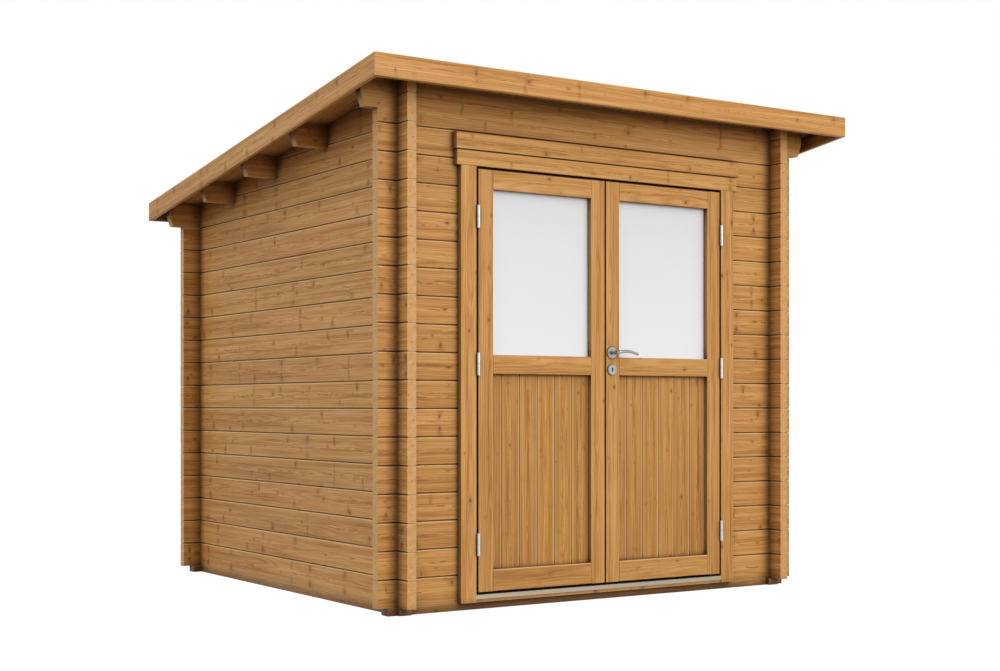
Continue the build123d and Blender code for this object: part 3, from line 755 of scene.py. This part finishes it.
for place, name in enumerate(LYING):
    pine([name], RIGHTWARDS, UP, seed=130 + SEED_STEP * place, flecks=0.5, spikes=0.4)
for place, name in enumerate(UPRIGHT):
    pine([name], UP, RIGHTWARDS, seed=230 + SEED_STEP * place, heart=0.04, **PLAIN)
for place, name in enumerate(RUNNING_BACK):
    pine([name], BACKWARDS, UP, seed=260 + SEED_STEP * place, flecks=0.0, spikes=0.2)
print("beams and trim:", len(LYING) + len(UPRIGHT) + len(RUNNING_BACK))

# %% [markdown]
# The side fascias and the roof boards follow the roof's slope, which can be read from the
# felt: how far it runs back and how far it falls, less its own thickness. The floor is left
# unstained, so it is paler.

# %% Roof and floor
BOARD_PITCH = 95 * MM
FELT_THICKNESS = 3 * MM
BARE_PINE = ("DDBF8E", "CDAA76", "B28B58")

felt_low, felt_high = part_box("roof_felt")
fall = felt_high.z - felt_low.z - FELT_THICKNESS
slope = Vector((0, felt_high.y - felt_low.y, -fall)).normalized()
square_to_slope = slope.cross(RIGHTWARDS) * -1
print("roof slope:", round(math.degrees(math.asin(-slope.z)), 2), "degrees")
for place, name in enumerate(("fascia_left", "fascia_right")):
    pine([name], slope, square_to_slope, seed=280 + SEED_STEP * place, flecks=0.7, spikes=0.5)
boards = (BOARD_PITCH, 0.0)
pine(["roof_boards"], slope, RIGHTWARDS, boards, seed=300, joint=0.7, spikes=0.2, flecks=0.0)
pine(["floor_boards"], BACKWARDS, RIGHTWARDS, boards, seed=340, joint=0.9, spikes=0.2,
     flecks=0.0, palette=BARE_PINE)

# %% [markdown]
# A door leaf is a frame of stiles and rails round a boarded panel. Stiles run up and rails run
# across, so each has its own grain, and the panel's boards have grooves between them. The
# panel's boards are a slightly deeper honey than the frame.

# %% Door leaves
STILE_WIDTH = 76 * MM
BOTTOM_RAIL_HEIGHT = 93 * MM
TOP_RAIL_HEIGHT = 83 * MM
MID_RAIL_TOP = 1107 * MM
FIRST_BOARD = 67 * MM
PANEL_BEVEL = 3.5 * MM
DEEP_HONEY = ("D8A25F", "B68140", "804A16")

for side, seed in (("left", 400), ("right", 450)):
    stiles, rails, panel = (f"{side}_door_{part}" for part in ("stiles", "rails", "panel"))
    low, high = extent(stiles, RIGHTWARDS)
    pine([stiles], UP, RIGHTWARDS, [(low, low + STILE_WIDTH), (high - STILE_WIDTH, high)],
         seed=seed, heart=0.04, **PLAIN)
    low, high = extent(rails, UP)
    pine([rails], RIGHTWARDS, UP, [(low, low + BOTTOM_RAIL_HEIGHT),
                                   (MID_RAIL_TOP - TOP_RAIL_HEIGHT, MID_RAIL_TOP),
                                   (high - TOP_RAIL_HEIGHT, high)],
         seed=seed + 10, heart=0.03, flecks=0.35, spikes=0.1)
    low, high = extent(panel, RIGHTWARDS)
    pine([panel], UP, RIGHTWARDS, (BOARD_PITCH, low + FIRST_BOARD), seed=seed + 20, heart=0.02,
         joint=0.8, edge=PANEL_BEVEL, flecks=0.5, spikes=0.1, palette=DEEP_HONEY)
    print(side, "panel:", round(high - low, 3), "m wide")

# %% [markdown]
# ## Glass, felt and metal
#
# The other finishes are plainer, but none is one flat colour: each has the marks of the way
# it was made. One cloudy pattern, stretched along an axis where the maker's tool or the
# rolling mill ran one way, moves the colour, the gloss and the height together.

# %% A finish that follows one pattern


def clouds(put, size, stretch=(1, 1, 1), detail=3.0):
    """A soft random pattern of spots about a size in metres, stretched along the axes."""
    place = put("TexCoord").outputs["Object"]
    return random_pattern(put, place, tuple(1 / (size * length) for length in stretch), detail)


def two_tone(put, pattern, tones):
    """A colour between two hex values, as the pattern goes from 0 to 1."""
    return layered(put, linear(tones[0]), ((pattern, 1.0, tones[1]),))


def coat(put, colour, gloss, pattern, relief, **shell):
    """A surface of a colour and a gloss range over a pattern that is a relief in metres high."""
    rough = put("MapRange", {"Value": pattern, "To Min": gloss[0], "To Max": gloss[1]})
    bump = put("Bump", {"Strength": 0.5, "Distance": relief, "Height": pattern})
    surface = put("BsdfPrincipled", {
        "Base Color": colour, "Roughness": rough, "Normal": bump, **shell})
    put("OutputMaterial", {"Surface": surface})


def marked(name, size, tones, gloss, relief, stretch=(1, 1, 1), detail=3.0, **shell):
    """A material with marks of a size in metres, between two tones and two roughnesses."""
    material, put = new_material(name)
    pattern = clouds(put, size, stretch, detail)
    coat(put, two_tone(put, pattern, tones), gloss, pattern, relief, **shell)
    return material


# %% [markdown]
# The panes are float glass with a milky layer: a smooth white that hides the room behind it.
# Their colour is painted a shade darker towards the top, as painted shade from the eave.

# %% Opal glass
GLASS_CLOUD = 400 * MM
GLASS_RELIEF = 0.05 * MM
LOW_MILK = ("EDF0F5", "F0F3F8")
SHADED_TOP_MILK = ("DFE1E6", "E3E5EA")

opal_glass, put = new_material("opal_glass")
pane_low, pane_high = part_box("left_door_glass")
cloud = clouds(put, GLASS_CLOUD, detail=1.0)
height = put("SeparateXYZ", put("TexCoord").outputs["Object"]).outputs["Z"]
# Painted shade: the pane's colour darkens from its foot to its head, for the eave's shadow.
shade = put("MapRange", {"Value": height, "From Min": pane_low.z, "From Max": pane_high.z})
milk_and_shade = layered(put, two_tone(put, cloud, LOW_MILK),
               ((shade, 1.0, two_tone(put, cloud, SHADED_TOP_MILK)),))
coat(put, milk_and_shade, (0.16, 0.22), cloud, GLASS_RELIEF, IOR=1.52)
print("pane:", round(pane_high.z - pane_low.z, 3), "m high")

# %% [markdown]
# The metals differ in how their skin was made. The lever and its plates are brushed, which
# leaves fine lines and a soft, wide highlight. The hinges are zinc plated in a bath: pale,
# slightly blue and faintly clouded. The threshold left the press with straight die lines and
# a dull, warm grey skin. The nails were dipped in molten zinc, which sets in a mottle.

# %% Metals
METAL = {"Metallic": 1.0}
BRUSH_LINE = 0.8 * MM
ZINC_CLOUD = 9 * MM
DIE_LINE = 2.5 * MM
ZINC_MOTTLE = 3 * MM

satin_stainless_steel = marked("satin_stainless_steel", BRUSH_LINE, ("8F9090", "A9AAAA"),
                               (0.28, 0.4), 0.02 * MM, stretch=(30, 1, 1), **METAL)
bright_zinc_plate = marked("bright_zinc_plate", ZINC_CLOUD, ("AFB3B8", "C9CCD0"), (0.32, 0.44),
                           0.02 * MM, **METAL)
mill_finish_aluminium = marked("mill_finish_aluminium", DIE_LINE, ("968A78", "B2A694"),
                               (0.42, 0.55), 0.05 * MM, stretch=(80, 1, 1), **METAL)
galvanised_steel = marked("galvanised_steel", ZINC_MOTTLE, ("85898C", "A9ADB0"), (0.4, 0.6),
                          0.03 * MM, detail=1.0, **METAL)
print("metals:", satin_stainless_steel.name, bright_zinc_plate.name)

# %% [markdown]
# The roof is bitumen felt strewn with crushed slate: rough, dark grey and glittering a little.
# The real grains are about 1 mm across, and are drawn 3 mm across to show at this distance.
# The lock case in the depth of a keyhole is japanned steel, nearly black with a faint sheen.
# The same black paints the shade inside the keyhole.

# %% Felt, and the lock case with its keyhole shade
SLATE_GRAIN = 3 * MM
JAPAN_CLOUD = 5 * MM

mineral_felt = marked("mineral_felt", SLATE_GRAIN, ("242426", "515154"), (0.75, 0.98), 1 * MM,
                      detail=1.0, IOR=1.6)
lock_case_and_keyhole_shade = marked("lock_case_and_keyhole_shade", JAPAN_CLOUD, ("060606", "101010"), (0.5, 0.6),
                         0.02 * MM, IOR=1.5)
for name in nodes:
    if "glass" in name:
        finish(name, opal_glass)
    if "hinges" in name:
        finish(name, bright_zinc_plate)
for name in ("lever_handle", "lever_roses", "key_escutcheons"):
    finish(name, satin_stainless_steel)
finish("threshold_strip", mill_finish_aluminium)
finish("roof_felt", mineral_felt)
print("finishes made:", len(bpy.data.materials))

# %% [markdown]
# ## Small pieces
#
# Each small piece is a mesh of its own that rides on the body it is fixed to. One helper
# makes the object from its shapes, and the others work out a shape's points and faces. Most
# shapes are rings of points, so one function makes the bands of faces between them.

# %% Make a mesh, and a tube along a path


def piece(name, shapes, material, body, smooth=False):
    """A mesh object from shapes, each with points in metres and faces, riding on a body."""
    points = []
    faces = []
    for shape_points, shape_faces in shapes:
        start = len(points)
        points += shape_points
        faces += [tuple(start + corner for corner in face) for face in shape_faces]
    mesh = bpy.data.meshes.new(name)
    mesh.from_pydata([tuple(point) for point in points], [], faces)
    mesh.materials.append(material)
    for polygon in mesh.polygons:
        polygon.use_smooth = smooth and len(polygon.vertices) == 4
    mesh.update()
    made = bpy.data.objects.new(name, mesh)
    bpy.context.scene.collection.objects.link(made)
    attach(made, body)
    return made


def bands(rings, sides, closed=False):
    """Faces between rings of points with so many sides, and back to the first if closed."""
    faces = []
    for ring in range(rings if closed else rings - 1):
        here = ring * sides
        there = (ring + 1) % rings * sides
        for side in range(sides):
            after = (side + 1) % sides
            faces.append((here + side, here + after, there + after, there + side))
    return faces


def tube(path, radii, sides, turn=0.0):
    """Points and faces of a closed tube along a path, with a radius at each of its points."""
    points = []
    for place, middle in enumerate(path):
        ahead = path[min(place + 1, len(path) - 1)]
        behind = path[max(place - 1, 0)]
        heading = (ahead - behind).normalized()
        sideways = heading.cross(UP).normalized()
        upright = sideways.cross(heading)
        for side in range(sides):
            angle = TURN * (side + turn) / sides
            reach = sideways * math.cos(angle) + upright * math.sin(angle)
            points.append(middle + reach * radii[place])
    last = (len(path) - 1) * sides
    ends = [tuple(reversed(range(sides))), tuple(range(last, last + sides))]
    return points, bands(len(path), sides) + ends


# %% [markdown]
# The lever is cast stainless steel. Its neck turns in the rose, and the grip leaves the neck
# in a rounded elbow, bows up a little, droops to its end and thins on the way. A parabola
# through three heights gives that bow: level at the neck, a rise in the middle and a droop at
# the end. All of it is measured from the rose, the leaf and the solid lever.

# %% Sizes of the lever
NECK_RADIUS = 8.8 * MM
GRIP_RADIUS = 7.4 * MM
TIP_RADIUS = 6.0 * MM
ELBOW_RADIUS = 12 * MM
RISE_AT_MIDDLE = 5 * MM
DROOP_AT_END = 9 * MM
SKIN = 0.1 * MM
OVERLAP = 1 * MM

lever_low, lever_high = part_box("lever_handle")
rose_low, rose_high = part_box("lever_roses")
stiles_low, stiles_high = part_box("right_door_stiles")
leaf_middle = (stiles_low.y + stiles_high.y) / 2
pivot = Vector(((rose_low.x + rose_high.x) / 2, leaf_middle, (rose_low.z + rose_high.z) / 2))
grip_y = lever_low.y + GRIP_RADIUS + SKIN
grip_length = lever_high.x - pivot.x - OVERLAP
curvature = -(DROOP_AT_END + 2 * RISE_AT_MIDDLE) * 2 / grip_length ** 2
lean = (4 * RISE_AT_MIDDLE + DROOP_AT_END) / grip_length
print("grip:", round(grip_length / MM, 1), "mm long")

# %% The lever's path, from the neck round the elbow and along the grip to the tip
ELBOW_STEPS = 6
GRIP_STEPS = 18
TIP_STEPS = 5
TIP_TURN = 86

path = [Vector((pivot.x, stiles_low.y + OVERLAP, pivot.z)),
        Vector((pivot.x, grip_y + ELBOW_RADIUS + 2 * MM, pivot.z))]
radii = [NECK_RADIUS, NECK_RADIUS]


def pass_through(x, y, radius):
    """Takes the path on to a distance from the neck and a depth, with a radius there."""
    path.append(Vector((pivot.x + x, y, pivot.z + lean * x + curvature * x * x)))
    radii.append(radius)


for step in range(1, ELBOW_STEPS + 1):
    angle = math.radians(90) * step / ELBOW_STEPS
    pass_through(ELBOW_RADIUS * (1 - math.cos(angle)),
                 grip_y + ELBOW_RADIUS * (1 - math.sin(angle)),
                 NECK_RADIUS + (GRIP_RADIUS - NECK_RADIUS) * step / ELBOW_STEPS)
grip_end = grip_length - TIP_RADIUS
for step in range(1, GRIP_STEPS + 1):
    pass_through(ELBOW_RADIUS + (grip_end - ELBOW_RADIUS) * step / GRIP_STEPS, grip_y,
                 GRIP_RADIUS + (TIP_RADIUS - GRIP_RADIUS) * step / GRIP_STEPS)
for step in range(1, TIP_STEPS + 1):
    angle = math.radians(TIP_TURN) * step / TIP_STEPS
    pass_through(grip_end + TIP_RADIUS * math.sin(angle), grip_y, TIP_RADIUS * math.cos(angle))
print("points on the path:", len(path))

# %% [markdown]
# The solid model has the lever as a 12-sided bar, so a smooth one takes its place. The inner
# lever is the outer one mirrored in the leaf's middle, which turns its faces inside out, so
# their corners are read backwards. Both levers share a square spindle.

# %% Smooth lever
TUBE_SIDES = 20
SPINDLE_WIDTH = 8 * MM

outer_points, outer_faces = tube(path, radii, TUBE_SIDES)
inner_points = [Vector((point.x, 2 * leaf_middle - point.y, point.z)) for point in outer_points]
inner_faces = [tuple(reversed(face)) for face in outer_faces]
spindle_path = [Vector((pivot.x, y, pivot.z)) for y in (stiles_low.y, stiles_high.y)]
half_diagonal = SPINDLE_WIDTH / math.sqrt(2)
spindle = tube(spindle_path, [half_diagonal] * 2, 4, turn=0.5)
lever = piece("smooth_lever", [(outer_points, outer_faces), (inner_points, inner_faces), spindle],
              satin_stainless_steel, "lever", smooth=True)
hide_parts("lever_handle")
print("lever faces:", len(lever.data.polygons))

# %% [markdown]
# A keyhole is dark from the shade in its depth and the black lock case behind it. A black
# insert just under the plate's face paints that shade.

# %% Keyholes
KEYHOLE_WIDTH = 7.6 * MM
KEYHOLE_LENGTH = 19.6 * MM
INSERT_DEPTH = 1.0 * MM
ARC_STEPS = 8


def slot_outline(width, length):
    """The outline of an upright slot with round ends, about its middle."""
    radius = width / 2
    straight = length / 2 - radius
    outline = []
    for step in range(ARC_STEPS + 1):
        angle = math.pi * step / ARC_STEPS
        outline.append((radius * math.cos(angle), straight + radius * math.sin(angle)))
    return outline + [(-x, -z) for x, z in outline]


def plate(outline, place_of, low, high):
    """A plate from an outline: place_of turns its two distances and a height into a point."""
    count = len(outline)
    points = [place_of(a, b, low) for a, b in outline]
    points += [place_of(a, b, high) for a, b in outline]
    ends = [tuple(reversed(range(count))), tuple(range(count, 2 * count))]
    return points, bands(2, count) + ends


plate_low, plate_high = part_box("key_escutcheons")
key_x = (plate_low.x + plate_high.x) / 2
key_z = (plate_low.z + plate_high.z) / 2
slot_shape = slot_outline(KEYHOLE_WIDTH, KEYHOLE_LENGTH)
depths = ((plate_low.y + INSERT_DEPTH, stiles_low.y), (stiles_high.y, plate_high.y - INSERT_DEPTH))
# Painted shade: a black insert fills each keyhole slot, where there is only the hole's shade and
# the lock case behind.
inserts = [plate(slot_shape, lambda a, b, y: Vector((key_x + a, y, key_z + b)), front, back)
           for front, back in depths]
piece("keyhole_depths", inserts, lock_case_and_keyhole_shade, "right_door")
print("keyhole at", round(key_x, 4), round(key_z, 3))

# %% [markdown]
# A lock also has a faceplate let into the leaf's edge, which shows when the leaf is open. It
# is a strip of brushed steel with round ends, a hair proud of the wood.

# %% The lock's faceplate
FACEPLATE_WIDTH = 20 * MM
FACEPLATE_LENGTH = 165 * MM
FACEPLATE_PROUD = 0.4 * MM
FACEPLATE_SUNK = 1 * MM

meeting_edge = stiles_low.x
lock_z = (pivot.z + key_z) / 2
face_shape = slot_outline(FACEPLATE_WIDTH, FACEPLATE_LENGTH)
strip = plate(face_shape, lambda a, b, x: Vector((x, leaf_middle + a, lock_z + b)),
              meeting_edge - FACEPLATE_PROUD, meeting_edge + FACEPLATE_SUNK)
piece("lock_faceplate", [strip], satin_stainless_steel, "right_door")
print("faceplate's middle at", round(lock_z, 3), "m")

# %% [markdown]
# Each hinge's barrel ends in a low dome, so that no sharp rim stands out. The lower dome
# belongs to the half on the post, the upper one to the half on the leaf.

# %% Hinge caps
HINGE_BARREL_RADIUS = 7.5 * MM
BARREL_RIDGE = 0.5 * MM
CAP_HEIGHT = 3 * MM
CAP_RINGS = 4
CAP_SIDES = 16


def dome(middle, radius, height, upward):
    """A low dome on a round face about a middle point: upward is 1 or, hanging, -1."""
    points = []
    for ring in range(CAP_RINGS):
        angle = math.radians(90) * ring / CAP_RINGS
        for side in range(CAP_SIDES):
            turn = TURN * side / CAP_SIDES * upward
            points.append(middle + Vector((radius * math.cos(angle) * math.cos(turn),
                                           radius * math.cos(angle) * math.sin(turn),
                                           upward * height * math.sin(angle))))
    points.append(middle + Vector((0, 0, upward * height)))
    faces = bands(CAP_RINGS, CAP_SIDES)
    top = (CAP_RINGS - 1) * CAP_SIDES
    for side in range(CAP_SIDES):
        faces.append((top + side, top + (side + 1) % CAP_SIDES, CAP_RINGS * CAP_SIDES))
    return points, faces


def barrel_ends(node_name):
    """The axis, the front and the end heights of the hinge barrels of a node."""
    places = [vertex.co for vertex in nodes[node_name].data.vertices]
    front = min(place.y for place in places)
    ridge = [place for place in places if place.y < front + BARREL_RIDGE]
    levels = sorted({round(place.z, 4) for place in ridge})
    return sum(place.x for place in ridge) / len(ridge), front, levels


for side in ("left", "right"):
    for half, body, upward in (("frame", "shed", -1), ("door", side + "_door", 1)):
        axis_x, front, levels = barrel_ends(f"{side}_{half}_hinges")
        ends = levels[0::2] if upward < 0 else levels[1::2]
        middles = [Vector((axis_x, front + HINGE_BARREL_RADIUS, z)) for z in ends]
        domes = [dome(middle, HINGE_BARREL_RADIUS, CAP_HEIGHT, upward) for middle in middles]
        piece(f"{side}_{half}_hinge_caps", domes, bright_zinc_plate, body,
              smooth=True)
        print(side, half, "caps at", [round(z, 3) for z in ends])

# %% [markdown]
# The panes are held from inside by thin beads of the same pine, rounded towards the room and
# mitred at the corners, so that a broken pane can be changed.

# %% Glazing beads
BEAD_WIDTH = 11 * MM
BEAD_STEPS = 5


def mitred_frame(low, high, profile):
    """A frame inside a rectangle in X and Z: profile gives its width inwards and its Y."""
    corners = [(low.x, low.z, 1, 1), (high.x, low.z, -1, 1), (high.x, high.z, -1, -1),
               (low.x, high.z, 1, -1)]
    points = []
    for x, z, inward_x, inward_z in corners:
        points += [Vector((x + inward_x * width, y, z + inward_z * width)) for width, y in profile]
    return points, bands(len(corners), len(profile), closed=True)


for side, seed in (("left", 500), ("right", 510)):
    glass_low, glass_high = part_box(side + "_door_glass")
    leaf_low, leaf_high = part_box(side + "_door_stiles")
    opening_low = Vector((leaf_low.x + STILE_WIDTH, 0, MID_RAIL_TOP))
    opening_high = Vector((leaf_high.x - STILE_WIDTH, 0, leaf_high.z - TOP_RAIL_HEIGHT))
    depth = leaf_high.y - glass_high.y
    profile = [(0, glass_high.y), (0, leaf_high.y)]
    for step in range(BEAD_STEPS + 1):
        angle = math.radians(90) * step / BEAD_STEPS
        profile.append((BEAD_WIDTH * (0.5 + 0.5 * math.sin(angle)),
                        glass_high.y + depth * math.cos(angle)))
    frame_of_beads = mitred_frame(opening_low, opening_high, profile)
    beads = stained_pine(f"stained_pine_{side}_beads", UP, RIGHTWARDS, leaf_high.y,
                         [(leaf_low.x, leaf_high.x)], seed=seed, **PLAIN)
    piece(side + "_glazing_beads", [frame_of_beads], beads, side + "_door")
print("bead depth:", round(depth / MM, 1), "mm")

# %% [markdown]
# Roofing felt comes in rolls a metre wide. It is laid along the eaves from the low edge up,
# each length over the one below, and nailed along the laps and the edges with clout nails,
# which have wide flat heads.

# %% Felt laps
LAP_RISE = 2 * MM
LAP_WIDTH = 75 * MM
ROLL_WIDTH = 1000 * MM

square_up = Vector((0, -slope.z, slope.y))


def on_felt(x, y):
    """The point of the felt's upper face at a place in plan."""
    return Vector((x, y, felt_high.z + (y - felt_low.y) * slope.z / slope.y))


def lap(y):
    """The free edge of an upper length at y, thinned out up the slope over the lap's width."""
    edge = [on_felt(x, y) for x in (felt_low.x, felt_high.x)]
    raised = [point + square_up * LAP_RISE for point in edge]
    far = [point - slope * LAP_WIDTH for point in edge]
    return edge + raised + far, [(1, 0, 2, 3), (3, 2, 4, 5), (0, 1, 5, 4), (0, 4, 2), (1, 3, 5)]


lap_places = []
lap_y = felt_high.y - ROLL_WIDTH + LAP_WIDTH
while lap_y > felt_low.y + 2 * LAP_WIDTH:
    lap_places.append(lap_y)
    lap_y -= ROLL_WIDTH - LAP_WIDTH
piece("felt_laps", [lap(y) for y in lap_places], mineral_felt, "shed")
print("laps:", len(lap_places))

# %% [markdown]
# The nails along a lap stand on it, near its free edge, where the felt is still raised. The
# rows along the eaves stand on the bare felt. Their pitch is rounded so that a row fits the
# roof's width.

# %% Clout nails
NAIL_PITCH = 150 * MM
NAIL_RADIUS = 5 * MM
RIM_SHARE = 0.8
NAIL_SIDES = 8
NAIL_HEIGHT = 1 * MM
EDGE_INSET = 25 * MM
NAIL_FROM_LAP_EDGE = 0.4


def nail(place):
    """A clout nail's head on the felt: a flat disc with a rounded rim."""
    points = []
    for height, radius in ((0, NAIL_RADIUS), (NAIL_HEIGHT, RIM_SHARE * NAIL_RADIUS)):
        for side in range(NAIL_SIDES):
            angle = TURN * side / NAIL_SIDES
            across = RIGHTWARDS * math.cos(angle) - slope * math.sin(angle)
            points.append(place + across * radius + square_up * height)
    return points, bands(2, NAIL_SIDES) + [tuple(range(NAIL_SIDES, 2 * NAIL_SIDES))]


nail_rows = [(y - NAIL_FROM_LAP_EDGE * LAP_WIDTH, (1 - NAIL_FROM_LAP_EDGE) * LAP_RISE)
             for y in lap_places]
nail_rows += [(felt_low.y + EDGE_INSET, 0), (felt_high.y - EDGE_INSET, 0)]
row_length = felt_high.x - felt_low.x - 2 * EDGE_INSET
nail_count = int(row_length / NAIL_PITCH)
pitch = row_length / nail_count
heads = []
for y, lift in nail_rows:
    heads += [nail(on_felt(felt_low.x + EDGE_INSET + step * pitch, y) + square_up * lift)
              for step in range(nail_count + 1)]
piece("clout_nails", heads, galvanised_steel, "shed")
print("clout nails:", len(heads))
